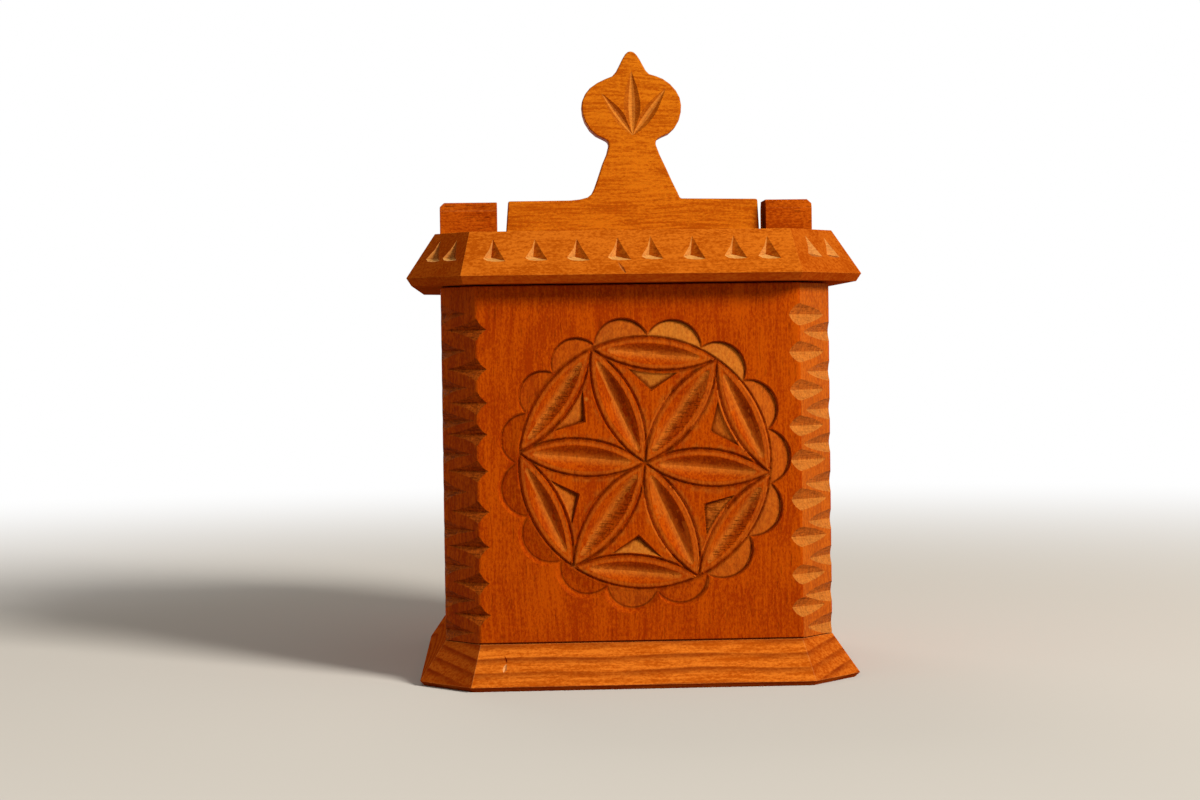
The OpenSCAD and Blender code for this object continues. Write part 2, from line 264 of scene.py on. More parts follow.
def carved_wood(name, pale, deep, cut, groove, turn, streak, mottle, flecks, gloss=0.46, drift=4.0, rings=None,
                shine=0.035):
    """Oiled wood in four colours, whose grain runs along the turned Z axis, with its shares of streaks, mottle
    and dark flecks. The carving attribute holds how pale a cut is, with painted highlights where a cut faces the
    light; how much dark finish lies in a groove, with painted shade in hollows, under things and on faces turned
    from the light; and how torn the fibres are."""
    material = bpy.data.materials.new(name)
    material.use_nodes = True
    tree = material.node_tree
    tree.nodes.clear()
    place = add(tree, "ShaderNodeTexCoord").outputs["Object"]
    # millimetres, with the grain along Z
    grain = add(tree, "ShaderNodeMapping",
                {"Vector": place, "Rotation": turn, "Scale": (1000, 1000, 1000)}).outputs[0]
    # the grain wanders over about 30 mm, by half the drift
    wander = add(tree, "ShaderNodeTexNoise", {"Vector": grain, "Scale": 0.035, "Detail": 1.0})
    fibre_place = add(tree, "ShaderNodeVectorMath", {0: wander.outputs["Color"], 1: (drift, drift, 0.0), 2: grain},
                      operation="MULTIPLY_ADD").outputs[0]
    # Each pattern has a place, a scale, its detail and its roughness
    patterns = {
        # fibres about 0.5 mm wide and 10 mm long
        "fibres": (fibre_place, (1.5, 1.5, 0.085), 3.0, 0.6),
        # figure: clouds about 9 mm wide and 20 mm long
        "figure": (fibre_place, (0.16, 0.16, 0.06), 3.0, 0.55),
        # fine mottle about 0.5 mm across, as polished fibre ends show
        "specks": (grain, (2.0, 2.0, 1.0), 2.0, 0.7),
        # dark pores, 0.3 mm wide and 2.5 mm long
        "pores": (fibre_place, (2.1, 2.1, 0.26), 1.0, 0.5),
        # torn fibres: level ridges about 0.4 mm apart and 2 mm long; this place is in metres
        "tears": (place, (380, 380, 2900), 2.0, 0.55),
    }
    noise = {}
    for key, (where, scale, detail, roughness) in patterns.items():
        scaled = add(tree, "ShaderNodeVectorMath", {0: where, 1: scale}, operation="MULTIPLY")
        noise[key] = add(tree, "ShaderNodeTexNoise", {"Vector": scaled.outputs[0], "Scale": 1.0, "Detail": detail,
                                                      "Roughness": roughness}).outputs["Fac"]
    # Each share has a pattern, the stretch of it that counts, and what that stretch becomes
    shares = {
        "pores": ("pores", 0.64, 0.74, 0.0, flecks),
        "tears": ("tears", 0.5, 0.68, 0.0, 1.0),
        # a cut shows paler, mottled wood, because it drank the stain unevenly
        "cut": ("specks", 0.3, 0.7, 0.55, 1.0),
        "roughness": ("fibres", 0.3, 0.7, gloss - 0.04, gloss + 0.1),
        "fading": ("figure", 0.38, 0.62, 0.45, 1.0),
    }
    for key, (pattern, low, high, least, most) in shares.items():
        shares[key] = add(tree, "ShaderNodeMapRange", {"Value": noise[pattern], "From Min": low, "From Max": high,
                                                       "To Min": least, "To Max": most}).outputs[0]
    carving = add(tree, "ShaderNodeAttribute", attribute_name="carving")
    # cut marks hold paleness and painted highlights; groove marks hold dark finish and painted shade
    cut_and_highlight_mark, groove_and_shade_mark, torn_mark = add(tree, "ShaderNodeSeparateXYZ", {0: carving.outputs["Vector"]}).outputs
    paleness = add(tree, "ShaderNodeMath", {0: cut_and_highlight_mark, 1: shares["cut"]}, operation="MULTIPLY").outputs[0]
    torn = add(tree, "ShaderNodeMath", {0: shares["tears"], 1: torn_mark}, operation="MULTIPLY").outputs[0]
    dark_share = add(tree, "ShaderNodeMath", {0: torn, 1: 0.42, 2: groove_and_shade_mark}, operation="MULTIPLY_ADD",
                     use_clamp=True).outputs[0]
    # The tone and the height are weighted sums
    sums = {
        "tone": ((noise["fibres"], streak), (noise["figure"], 0.4 * mottle), (noise["specks"], 0.7 * mottle)),
        "height": ((noise["specks"], 1.0), (noise["fibres"], 0.5), (shares["pores"], -0.8), (torn, -2.5)),
    }
    for key, parts in sums.items():
        total = 0.0
        for value, weight in parts:
            total = add(tree, "ShaderNodeMath", {0: value, 1: weight, 2: total}, operation="MULTIPLY_ADD").outputs[0]
        sums[key] = total
    middle = 0.5 * (streak + 1.1 * mottle)
    tone = add(tree, "ShaderNodeMapRange",
               {"Value": sums["tone"], "From Min": middle - TONE_SPREAD, "From Max": middle + TONE_SPREAD})
    layers = [(tone.outputs[0], pale), (shares["pores"], groove), (paleness, cut), (dark_share, groove)]
    if rings:
        centre, spacing, dark, strength = rings
        layers.insert(1, (ring_share(tree, fibre_place, centre, spacing, strength, shares["fading"]), dark))
    colour = linear(deep)
    for share, code in layers:
        colour = add(tree, "ShaderNodeMix", {0: share, 6: colour, 7: linear(code)}, data_type="RGBA").outputs[2]
    rough = add(tree, "ShaderNodeMapRange", {"Value": cut_and_highlight_mark, "To Min": shares["roughness"], "To Max": CUT_GLOSS})
    bump = add(tree, "ShaderNodeBump", {"Height": sums["height"], "Strength": 0.7, "Distance": 0.11 * MM})
    shader = add(tree, "ShaderNodeBsdfPrincipled",
                 {"Base Color": colour, "Roughness": rough.outputs[0], "Normal": bump.outputs[0],
                  "IOR": 1.45, "Specular IOR Level": shine, "Specular Tint": (1.0, 0.6, 0.2, 1.0)})
    add(tree, "ShaderNodeOutputMaterial", {"Surface": shader.outputs[0]})
    return material


def ring_share(tree, place, centre, spacing, strength, fading):
    """Growth rings round a pith that lies below the board: bands of late wood that fade in and out."""
    offset = add(tree, "ShaderNodeVectorMath", {0: place, 1: centre}, operation="SUBTRACT")
    flat = add(tree, "ShaderNodeVectorMath", {0: offset.outputs[0], 1: (1, 1, 0.02)}, operation="MULTIPLY")
    radius = add(tree, "ShaderNodeVectorMath", {0: flat.outputs[0]}, operation="LENGTH")
    phase = add(tree, "ShaderNodeMath", {0: radius.outputs["Value"], 1: 1 / spacing}, operation="MULTIPLY")
    saw = add(tree, "ShaderNodeMath", {0: phase.outputs[0]}, operation="FRACT").outputs[0]
    late = add(tree, "ShaderNodeMapRange", {"Value": saw, "From Min": 0.35, "From Max": 0.88, "To Max": strength},
               interpolation_type="SMOOTHSTEP").outputs[0]
    end = add(tree, "ShaderNodeMapRange", {"Value": saw, "From Min": 0.88, "To Min": 1.0, "To Max": 0.0}).outputs[0]
    share = late
    for factor in (end, fading):
        share = add(tree, "ShaderNodeMath", {0: share, 1: factor}, operation="MULTIPLY").outputs[0]
    return share


ALONG_Z = (0.0, 0.0, 0.0)
ALONG_X = (0.0, math.radians(90), 0.0)
ALONG_Y = (math.radians(90), 0.0, 0.0)

# Pear wood, planed, stained red-brown and oiled: close grain, grainy to the eye, with a few dark dashes
body_wood = carved_wood("oiled_pear_body", "#bd4c02", "#9b3101", "#d2842c", "#481000", ALONG_Z, 0.75, 1.3, 0.3)
# The same pear, laid flat and stained lighter: cloudy figure across the lid
lid_wood = carved_wood("oiled_pear_lid", "#d26c16", "#b04e06", "#e0983c", "#7c0e00", ALONG_X, 0.5, 1.6, 0.2,
                       shine=0.0)
# End blocks: the lid's pear with its end grain up, darker and blotched
block_wood = carved_wood("oiled_pear_blocks", "#c4590a", "#9c3a02", "#dc9450", "#441100", ALONG_X, 0.5, 1.6, 0.5,
                         shine=0.0)
# Pear cut open by a knife: rough fibres that took the stain unevenly, pale where they took little
chip_wood = carved_wood("knife_cut_pear", "#bb4c03", "#8f3001", "#d28836", "#481000", ALONG_Z, 0.8, 1.6, 0.3, 0.5)
# Knife cuts in the lid: the lid's stain is thin
lid_chip_wood = carved_wood("knife_cut_pear_lid", "#cc6a14", "#a84a06", "#e8a858", "#661200", ALONG_X, 0.7, 1.4,
                            0.2, 0.5)
# Maple for the key board: golden, with fine level grain
key_wood = carved_wood("oiled_maple_key", "#d97610", "#b45205", "#e0953a", "#602002", ALONG_X, 1.0, 1.2, 0.15)
key_chip_wood = carved_wood("knife_cut_maple", "#cf6c10", "#ae5006", "#e29a3e", "#602002", ALONG_X, 0.9, 1.2, 0.1,
                            0.48)
# Pine for the plinth: broad growth rings that run level round its edges
plinth_wood = carved_wood("oiled_pine_plinth", "#e67a20", "#bc540a", "#e8b070", "#7c0e00", ALONG_X, 0.8, 1.2, 0.2,
                          drift=1.3, shine=0.0, rings=((-200.0, 0.0, 0.0), 2.58, "#7c2a06", 0.85))
# Beech left raw inside: pale and matt, with small flecks
inner_wood = carved_wood("raw_beech", "#cfa26a", "#b98650", "#cfa26a", "#7a4a22", ALONG_Y, 0.8, 0.6, 0.35, 0.65)
# Birch dowel: pale, straight fibres
peg_wood = carved_wood("birch_dowel", "#dab987", "#c79f68", "#dab987", "#8a6238", ALONG_Z, 1.0, 0.4, 0.1, 0.6)


# ------------ rosette carving

ROSETTE = (1.2, 53.7)
ROSETTE_R = 30.4
ROSETTE_TURN = -5.5
INNER_SAG = 4.5
RIM_OUT_SAG = 4.07
RIM_IN_SAG = 3.9
GROOVE_HALF = 0.52
GROOVE_DEPTH = 0.7
BORDER = 1.5
VALLEY_SLOPE = 0.82
VALLEY_ROUND = 0.6
# Each scallop's middle, how far its wall leans out, and how pale its floor is painted, or how dark if below nought:
# painted highlight on the floors that face the light, painted shade on those that turn from it
SCALLOPS = ((101.6, 0.4, 0.3), (75.0, 0.35, 0.75), (51.5, 0.35, 0.62), (26.7, 0.4, 0.25), (2.3, 0.4, 0.18),
            (-22.6, 0.45, 0.3), (-48.8, 0.5, 0.25), (-73.6, 0.7, 0.04), (-96.6, 1.3, 0.14), (-118.9, 1.25, -0.04),
            (-144.0, 1.0, -0.12), (-168.7, 0.9, -0.18), (-192.9, 0.55, -0.12), (-214.1, 0.45, 0.06),
            (-236.2, 0.4, 0.12))
SCALLOP_REACH = 35.2
# The face's mesh is fine within this radius and coarse beyond it
FINE_REACH = 35.6
CUSP_R = ROSETTE_R + 0.45
POCKET_POINT = 17.4
POCKET_CORNER = (22.3, 5.9)
POCKET_DEPTH = 1.5
POCKET_RISE = 1.05
POCKET_WALL = 2.6
POCKET_GAP = 0.75
# How far inside its circle a scallop's wall ends, and how far outside its outline a petal's worn lip begins
SCALLOP_LIP = 0.16
LIP = -0.95
# The light's direction across the face, towards the upper right: valley walls that turn from it get painted shade
SHADE = np.array([0.8, 0.6])
# Nicks that the knife left where its cuts meet: (x, z, size)
NICKS = ((0.1, 0.7, 0.3), (1.9, -1.9, 0.35), (-2.2, 1.7, 0.22), (-13.9, 15.6, 0.3), (-17.2, -24.6, 0.4),
         (-14.6, -26.0, 0.3), (15.4, -26.5, 0.25), (29.6, -3.4, 0.3), (17.2, 25.6, 0.25))


def polar(r, degrees):
    return np.array([r * math.cos(math.radians(degrees)), r * math.sin(math.radians(degrees))])


class Petal:
    """A lens between two points, with its own bulge on each side. Side +1 is to the left of start to end."""

    def __init__(self, start, end, sag_left, sag_right, torn):
        self.middle = (start + end) / 2
        along = (end - start) / 2
        self.reach = float(np.hypot(*along))
        self.along = along / self.reach
        self.across = np.array([-self.along[1], self.along[0]])
        self.sags = {1: sag_left, -1: sag_right}
        self.torn = torn

    def bulge(self, t, side):
        sag = self.sags[side]
        radius = (self.reach ** 2 + sag ** 2) / (2 * sag)
        return np.sqrt(np.maximum(radius ** 2 - t ** 2, 0)) - (radius - sag)

    def local(self, points):
        offset = points - self.middle
        return offset @ self.along, offset @ self.across

    def inset(self, points):
        """How far each point lies inside the outline, how far from the valley, and how far the outline does."""
        t, n = self.local(points)
        edge = np.where(n >= 0, self.bulge(t, 1), self.bulge(t, -1))
        inside = edge - np.abs(n)
        beyond = np.abs(t) - self.reach
        return np.where(beyond < 0, inside, -np.hypot(np.maximum(beyond, 0), n)), np.abs(n), edge

    def curve(self, side, inset, step=0.75):
        """The outline on one side, moved in by inset."""
        t = np.linspace(-self.reach, self.reach, int(2 * self.reach / step) + 1)
        height = self.bulge(t, side) - inset
        keep = height > -0.02
        if keep.sum() < 2:
            return None
        t, height = t[keep], np.maximum(height[keep], 0)
        return self.middle + np.outer(t, self.along) + np.outer(side * height, self.across)


def rosette_petals():
    """Six petals from the middle out, and six along the rim."""
    corner = [polar(ROSETTE_R, ROSETTE_TURN + 60 * k) for k in range(6)]
    inner = [Petal(np.zeros(2), corner[k], INNER_SAG, INNER_SAG, float(k in (1, 4))) for k in range(6)]
    return inner + [Petal(corner[k], corner[(k + 1) % 6], RIM_IN_SAG, RIM_OUT_SAG, float(k in (2, 5)))
                    for k in range(6)]


def scallop_circles():
    """Centre and radius of the circle through each scallop's two cusps and its crest."""
    circles = []
    angles = [s[0] for s in SCALLOPS]
    for low, angle, high in zip([angles[-1] + 360] + angles[:-1], angles, angles[1:] + [angles[0] - 360]):
        crest = polar(SCALLOP_REACH, angle)
        cusps = [polar(CUSP_R, (end + angle) / 2) for end in (low, high)]
        middle = np.linalg.solve([2 * (crest - cusp) for cusp in cusps],
                                 [crest @ crest - cusp @ cusp for cusp in cusps])
        circles.append((middle, float(np.hypot(*(crest - middle)))))
    return circles


def pocket_legs(k):
    """A pocket's way out, its point, and for each of its two edges the run to the corner and the inward normal."""
    out = polar(1, ROSETTE_TURN + 60 * k + 30)
    side = np.array([-out[1], out[0]])
    point = POCKET_POINT * out
    legs = []
    for s in (1, -1):
        leg = POCKET_CORNER[0] * out + s * POCKET_CORNER[1] * side - point
        normal = np.array([-leg[1], leg[0]]) / np.hypot(*leg)
        legs.append((leg, normal if normal @ out >= 0 else -normal))
    return out, point, legs


PETALS = rosette_petals()
CIRCLES = scallop_circles()


def ramp(x, low, high):
    return np.clip((x - low) / (high - low), 0, 1)


def soft_step(x, low, high):
    t = ramp(x, low, high)
    return t * t * (3 - 2 * t)


def bell(x, width):
    """One at nought, fading away on both sides."""
    return np.exp(-(x / width) ** 2)


def raised(values, where, other):
    """Values, lifted to other in the places where the mask says so."""
    return np.where(where, np.maximum(values, other), values)


def carve(points):
    """Depth of the carving and its pale, groove and torn marks at points of the wall's face, about the rosette."""
    depth, pale, dark, torn = (np.zeros(len(points)) for _ in range(4))
    x, z = points.T
    r = np.hypot(x, z)
    # uneven tool marks: slow waves along and across each cut
    wave = 0.035 * np.sin(x * 2.1 + 1.3 * np.sin(z * 0.7)) + 0.03 * np.sin(z * 2.6 + 1.1 * np.sin(x * 0.9))

    outer = r > ROSETTE_R
    run = ramp(r, ROSETTE_R, SCALLOP_REACH)
    for (middle, radius), (_, lean, light) in zip(CIRCLES, SCALLOPS):
        inside = radius - np.hypot(*(points - middle).T)
        depth = raised(depth, outer, (0.2 + 1.1 * run + wave) * soft_step(inside, -lean, SCALLOP_LIP))
        on_floor = ramp(inside, -0.05, 0.2)
        # floors that face the light are painted paler, as highlight; below nought, darker, as shade
        pale = raised(pale, outer, light * on_floor)
        # dark finish and painted shade in the crease at the wall's foot
        crease = 0.85 * bell(inside - 0.08, 0.22) * ramp(run, 0.02, 0.25)
        dark = raised(dark, outer, np.maximum(crease, -light * on_floor))

    for k in range(6):
        out, point, legs = pocket_legs(k)
        within = np.minimum(*((points - point) @ normal for _, normal in legs))
        far = -PETALS[6 + k].inset(points)[0] - POCKET_GAP
        floor = POCKET_DEPTH - POCKET_RISE * ramp(points @ out, POCKET_POINT + 0.4, 22.6) + wave
        foot = floor / POCKET_WALL
        region = (within > -0.1) & (far > -0.1) & (r < ROSETTE_R)
        cut = np.minimum(np.minimum(floor, POCKET_WALL * (within + 0.1)), 1.6 * (far + 0.1))
        depth = raised(depth, region, cut)
        pale = np.where(region, (0.75 if k in (1, 4) else 0.4) * ramp(within, foot - 0.25, foot + 0.1), pale)
        # painted shade in the pocket's crease and on its walls
        dark = raised(dark, region, 0.75 * bell(within - foot + 0.1, 0.25))
        dark = raised(dark, region, 0.35 * (1 - ramp(within, foot - 0.3, foot)))
        torn = np.where(region & (k == 5), 1.0, torn)

    for petal in PETALS:
        inset, off, edge = petal.inset(points)
        half_width = GROOVE_HALF * (1 + 3 * wave)
        groove = GROOVE_DEPTH * np.clip(1 - np.abs(inset) / half_width, 0, 1)
        shoulder = np.where(inset > 0, 0.2 * (1 - ramp(inset, 0.1, 1.1)) ** 2,
                            0.12 * (1 - ramp(-inset, 0.1, -LIP)) ** 2)
        centre = np.where(off < VALLEY_ROUND, off ** 2 / (2 * VALLEY_ROUND) + VALLEY_ROUND / 2, off)
        valley = VALLEY_SLOPE * (edge - BORDER - centre)
        in_valley = (inset > BORDER) & (valley > 0)
        valley = np.where(in_valley, valley + 0.7 * wave * ramp(valley, 0, 0.3), 0)
        near = inset > LIP
        depth = raised(depth, near, np.maximum(np.maximum(groove, shoulder), valley))
        pale = np.where(near & (inset > -0.1), 0.0, pale)
        # pale lips either side of the groove, in broken lines: painted highlights where the lips catch the light
        lips = np.maximum(0.34 * bell(inset + 0.78, 0.26) * ramp(wave, -0.03, 0.04), 0.26 * bell(inset - 0.9, 0.3))
        pale = raised(pale, r < ROSETTE_R + 0.3, lips)
        # painted highlight along each valley's rounded bottom
        pale = np.where(in_valley, 0.5 * bell(off, 1.0), pale)
        # dark finish in the groove, with painted shade
        dark = np.maximum(dark, (0.56 + 3.5 * wave) * bell(inset, 1.1 * half_width))
        # each valley's wall that turns from the light is painted darker, as shade
        side = np.sign((points - petal.middle) @ petal.across)
        turned_away = np.clip(side * (petal.across @ SHADE), 0, 1)
        dark = raised(dark, in_valley, 0.46 * turned_away * ramp(off, 0.4, 1.3) * ramp(edge - BORDER - off, 0.0, 0.4))
        right_side = side * petal.across[0] > 0
        torn = raised(torn, in_valley & (right_side | (off < 0.5)), petal.torn)
    for nick_x, nick_z, size in NICKS:
        pale = np.maximum(pale, 0.9 * bell(np.hypot(x - nick_x, z - nick_z), size))
    return depth, np.stack([pale, dark, torn], 1)


def carving_curves():
    """The lines that the carved face's mesh follows."""
    curves = []
    for petal in PETALS:
        for side in (1, -1):
            for inset in (LIP, -0.6, -GROOVE_HALF, 0.0, GROOVE_HALF, 0.65, 1.05, BORDER, BORDER + 0.1, 2.5):
                line = petal.curve(side, inset)
                if line is not None:
                    curves.append(line)
            t = np.linspace(-petal.reach + 2.9, petal.reach - 2.9, 34)
            for height in (0.0, side * VALLEY_ROUND):
                curves.append(petal.middle + np.outer(t, petal.along) + height * petal.across)
    for (middle, radius), (_, lean, _) in zip(CIRCLES, SCALLOPS):
        for inside in [SCALLOP_LIP - (lean + SCALLOP_LIP) * part for part in (1.0, 0.75, 0.5, 0.25, 0.0)] + [0.5]:
            own = radius - inside
            turn = np.linspace(0, 2 * math.pi, int(2 * math.pi * own / 0.7) + 1)
            ring = middle + own * np.stack([np.cos(turn), np.sin(turn)], 1)
            keep = np.hypot(*ring.T) > ROSETTE_R + 0.3
            start = int(np.argmin(keep))
            ring = np.roll(ring[:-1], -start, 0)[np.roll(keep[:-1], -start)]
            if len(ring) > 2:
                curves.append(ring)
    steps = np.linspace(0, 1, 10)
    for k in range(6):
        _, point, legs = pocket_legs(k)
        for leg, normal in legs:
            edge = point + np.outer(steps, leg)
            width = (POCKET_DEPTH - POCKET_RISE * steps) / POCKET_WALL - 0.1
            curves += [edge, edge - 0.12 * normal, edge + width[:, None] * normal]
        rim = PETALS[6 + k]
        for inset in (-POCKET_GAP, -1.0):
            line = rim.curve(1, inset)
            curves.append(line[np.abs((line - rim.middle) @ rim.along) < POCKET_CORNER[1] + 0.6])
    return curves


def carved_face(x0, x1, z0, z1):
    """Points (x, z), depth, marks and triangles of the carved face between two upright edges."""
    points = [(x0, z0), (x1, z0), (x1, z1), (x0, z1)]
    edges = []
    for curve in carving_curves():
        first = len(points)
        for x, z in curve + np.array(ROSETTE):
            points.append((float(min(max(x, x0 + 0.05), x1 - 0.05)), float(z)))
        edges += [(i, i + 1) for i in range(first, len(points) - 1)]
    tree = KDTree(len(points))
    for i, (x, z) in enumerate(points):
        tree.insert((x, z, 0), i)
    tree.balance()
    rng = random.Random(5)
    extra = []
    for fine, spacing in ((True, 0.8), (False, 3.2)):
        rows = int((z1 - z0) / (spacing * 0.866))
        for row in range(1, rows):
            z = z0 + row * spacing * 0.866
            for col in range(1, int((x1 - x0) / spacing)):
                x = x0 + (col + 0.5 * (row % 2)) * spacing
                near = math.hypot(x - ROSETTE[0], z - ROSETTE[1]) < FINE_REACH
                if near != fine or x > x1 - 0.4:
                    continue
                if tree.find((x, z, 0))[2] > 0.45 * (1 if fine else 2):
                    extra.append((x + rng.uniform(-0.1, 0.1), z + rng.uniform(-0.1, 0.1)))
    points += extra
    result = delaunay_2d_cdt([Vector(p) for p in points], edges, [], 0, 1e-4, False)
    flat = np.array([tuple(v) for v in result[0]])
    triangles = [tuple(f) for f in result[2]]
    depth, marks = carve(flat - np.array(ROSETTE))
    return flat, depth, marks, triangles


# ------------ chips: cutters, places and the tree that cuts

def chip_cutter(name, outline, deep, walls, lift=0.6):
    """A closed cutter: an outline (x, y) on the surface, carried up past it by lift, over deep points (x, y, z)
    that the walls join to the outline. Walls number the outline's points first and the deep ones after, and
    each holds the marks that its cut gets."""
    points = [(x, y, 0.0) for x, y in outline] + list(deep) + [(x, y, lift) for x, y in outline]
    count = len(points)
    surface, top = range(len(outline)), range(count - len(outline), count)
    plain = (0.0, 0.0, 0.0)
    faces = [(tuple(top), plain)] + list(walls) + [(side, plain) for side in band(surface, top)]
    return cutter_mesh(name, points, faces)


def cutter_mesh(name, points, faces):
    bm = bmesh.new()
    layer = bm.loops.layers.float_vector.new("carving")
    verts = [bm.verts.new([c * MM for c in p]) for p in points]
    for corners, marks in faces:
        face = bm.faces.new([verts[i] for i in corners])
        for loop in face.loops:
            loop[layer] = marks
    bmesh.ops.triangulate(bm, faces=bm.faces)
    bmesh.ops.recalc_face_normals(bm, faces=bm.faces)
    return mesh_of(name, bm)


def thorn_cutter(name, left, right, foot):
    """A thorn: two walls that meet in a crease below the point, and a crescent at its foot. Unit size."""
    outline = [(0, 1), (-0.17, 0.52), (-0.48, 0.08), (-0.3, -0.03), (0, -0.07), (0.28, -0.07), (0.57, -0.04),
               (0.27, 0.45)]
    deep = [(-0.1, 0.3, -1.0), (-0.31, 0.2, -0.55), (0.27, 0.13, -0.55)]
    walls = [((0, 1, 8), left), ((1, 2, 8), left), ((2, 9, 8), left), ((0, 8, 7), right), ((7, 8, 6), right),
             ((6, 8, 10), right), ((2, 3, 9), foot), ((3, 4, 8, 9), foot), ((4, 5, 10, 8), foot),
             ((5, 6, 10), foot)]
    return chip_cutter(name, outline, deep, walls)


def leaf_cutter(name, wall, bottom):
    """A leaf: a long lens with steep walls and a rounded bottom, deepest near its middle. Unit size, along Y."""
    widths = [(0.0, 0), (0.06, 0.14), (0.14, 0.28), (0.25, 0.41), (0.36, 0.48), (0.48, 0.5), (0.6, 0.45),
              (0.72, 0.35), (0.84, 0.21), (0.93, 0.1), (1.0, 0)]
    last = len(widths) - 1
    outline = [(-w, y) for y, w in widths] + [(w, y) for y, w in widths[-2:0:-1]]
    rows = [(-0.4, 0.72), (0.0, 1.0), (0.4, 0.72)]
    deep = [(a * w, y, -2 * w * d) for a, d in rows for y, w in widths[1:-1]]

    def number(row, i):
        """The number of the point i along one of the lines from the left edge to the right edge."""
        if i in (0, last) or row == 0:
            return i
        if row == len(rows) + 1:
            return len(outline) - i
        return len(outline) + (row - 1) * (last - 1) + i - 1

    walls = []
    for i in range(last):
        for row in range(len(rows) + 1):
            corners = (number(row, i), number(row, i + 1), number(row + 1, i + 1), number(row + 1, i))
            walls.append((tuple(dict.fromkeys(corners)), wall if row in (0, len(rows)) else bottom))
    return chip_cutter(name, outline, deep, walls)


# Half-height of a notch at each distance out from its valley: hollow on the right corners, flared on the left
HOLLOW_NOTCH = ((0, 0), (0.12, 0.5), (0.35, 1.1), (0.7, 1.75), (1.1, 2.25), (1.5, 2.65), (1.9, 2.95), (2.7, 3.2))
FLARED_NOTCH = ((0, 0), (0.5, 0.62), (0.85, 1.15), (1.15, 1.85), (1.35, 2.5), (1.5, 3.1), (1.7, 3.7), (2.7, 3.9))
# How far a notch's tip lies from the arris along the face, and its tail along each of the two directions
NOTCH_TIP = 2.45
NOTCH_TAIL = 6.9


def notch_cutter(name, profile, mirrored, marks):
    """A groove over an upright arris at the origin, from its tip on the wall's face to its tail on the cut
    corner."""
    tip, tail = np.array([-NOTCH_TIP, 0.0]), np.array([NOTCH_TAIL, NOTCH_TAIL])
    if mirrored:
        tip, tail = np.array([0.0, NOTCH_TIP]), np.array([-NOTCH_TAIL, -NOTCH_TAIL])
    along = (tail - tip) / np.hypot(*(tail - tip))
    out = np.array([along[1], -along[0]]) * (-1 if mirrored else 1)
    ring = [(u, v) for u, v in profile] + [(u, -v) for u, v in profile[1:]][::-1]
    points = []
    for end in (tip - 0.8 * along, tail + 0.8 * along):
        points += [(*(end + u * out), v) for u, v in ring]
    count = len(ring)
    upper, lower = marks
    near, far = range(count), range(count, 2 * count)
    faces = [(tuple(near), lower), (tuple(far[::-1]), lower)]
    faces += [(side, upper if i < count // 2 else lower) for i, side in enumerate(band(near, far))]
    return cutter_mesh(name, points, faces)


def tool(mesh):
    """A cutter object. Its marks go to the faces that it cuts."""
    chip = mesh.attributes.new("chip", "BOOLEAN", "FACE")
    chip.data.foreach_set("value", [True] * len(mesh.polygons))
    return help_with(mesh.name, mesh)


def stations(name, places):
    """Places for a cutter: (x, y, z) in millimetres and its turn about X, Y and Z in degrees, and its size."""
    mesh = mesh_from(name, [p[0] for p in places], [])
    turn = mesh.attributes.new("turn", "FLOAT_VECTOR", "POINT")
    turn.data.foreach_set("vector", [math.radians(a) for p in places for a in p[1]])
    size = mesh.attributes.new("size", "FLOAT_VECTOR", "POINT")
    size.data.foreach_set("vector", [s for p in places for s in p[2]])
    return help_with(name, mesh)


def chip_tree():
    """Cuts one chip at each place out of the board. Each place has its own turn and size."""
    tree = bpy.data.node_groups.new("chip_cuts", "GeometryNodeTree")
    for name, kind in (("Board", "Geometry"), ("Cutter", "Object"), ("Places", "Object"), ("Scale", "Float"),
                       ("Cut Wood", "Material")):
        tree.interface.new_socket(name, in_out="INPUT", socket_type="NodeSocket" + kind)
    tree.interface.new_socket("Carved Board", in_out="OUTPUT", socket_type="NodeSocketGeometry")
    given = add(tree, "NodeGroupInput").outputs
    cutter = add(tree, "GeometryNodeObjectInfo", {"Object": given["Cutter"]})
    places = add(tree, "GeometryNodeObjectInfo", {"Object": given["Places"]})
    turn, size = (add(tree, "GeometryNodeInputNamedAttribute", {"Name": name}, data_type="FLOAT_VECTOR").outputs[0]
                  for name in ("turn", "size"))
    rotation = add(tree, "FunctionNodeEulerToRotation", {0: turn})
    sized = add(tree, "ShaderNodeVectorMath", {0: size, "Scale": given["Scale"]}, operation="SCALE")
    chips = add(tree, "GeometryNodeInstanceOnPoints",
                {"Points": places.outputs["Geometry"], "Instance": cutter.outputs["Geometry"],
                 "Rotation": rotation.outputs[0], "Scale": sized.outputs[0]})
    solid = add(tree, "GeometryNodeRealizeInstances", {0: chips.outputs[0]})
    cut = add(tree, "GeometryNodeMeshBoolean", {"Mesh 1": given["Board"], "Mesh 2": solid.outputs[0]},
              operation="DIFFERENCE", solver="MANIFOLD")
    whole = add(tree, "GeometryNodeRealizeInstances", {0: cut.outputs[0]})
    chip = add(tree, "GeometryNodeInputNamedAttribute", {"Name": "chip"}, data_type="BOOLEAN")
    painted = add(tree, "GeometryNodeSetMaterial", {"Geometry": whole.outputs[0], "Selection": chip.outputs[0],
                                                    "Material": given["Cut Wood"]})
    add(tree, "NodeGroupOutput", {0: painted.outputs[0]})
    return tree


CHIP_TREE = chip_tree()


def cut_chips(piece, cutter, places, wood):
    """Cuts a row of chips into a board, when it is settled."""
    modifier = piece.modifiers.new(cutter.name, "NODES")
    modifier.node_group = CHIP_TREE
    values = {"Cutter": cutter, "Places": places, "Scale": 1.0, "Cut Wood": wood}
    for socket in CHIP_TREE.interface.items_tree:
        if socket.name in values:
            modifier[socket.identifier] = values[socket.name]


# ------------ walls

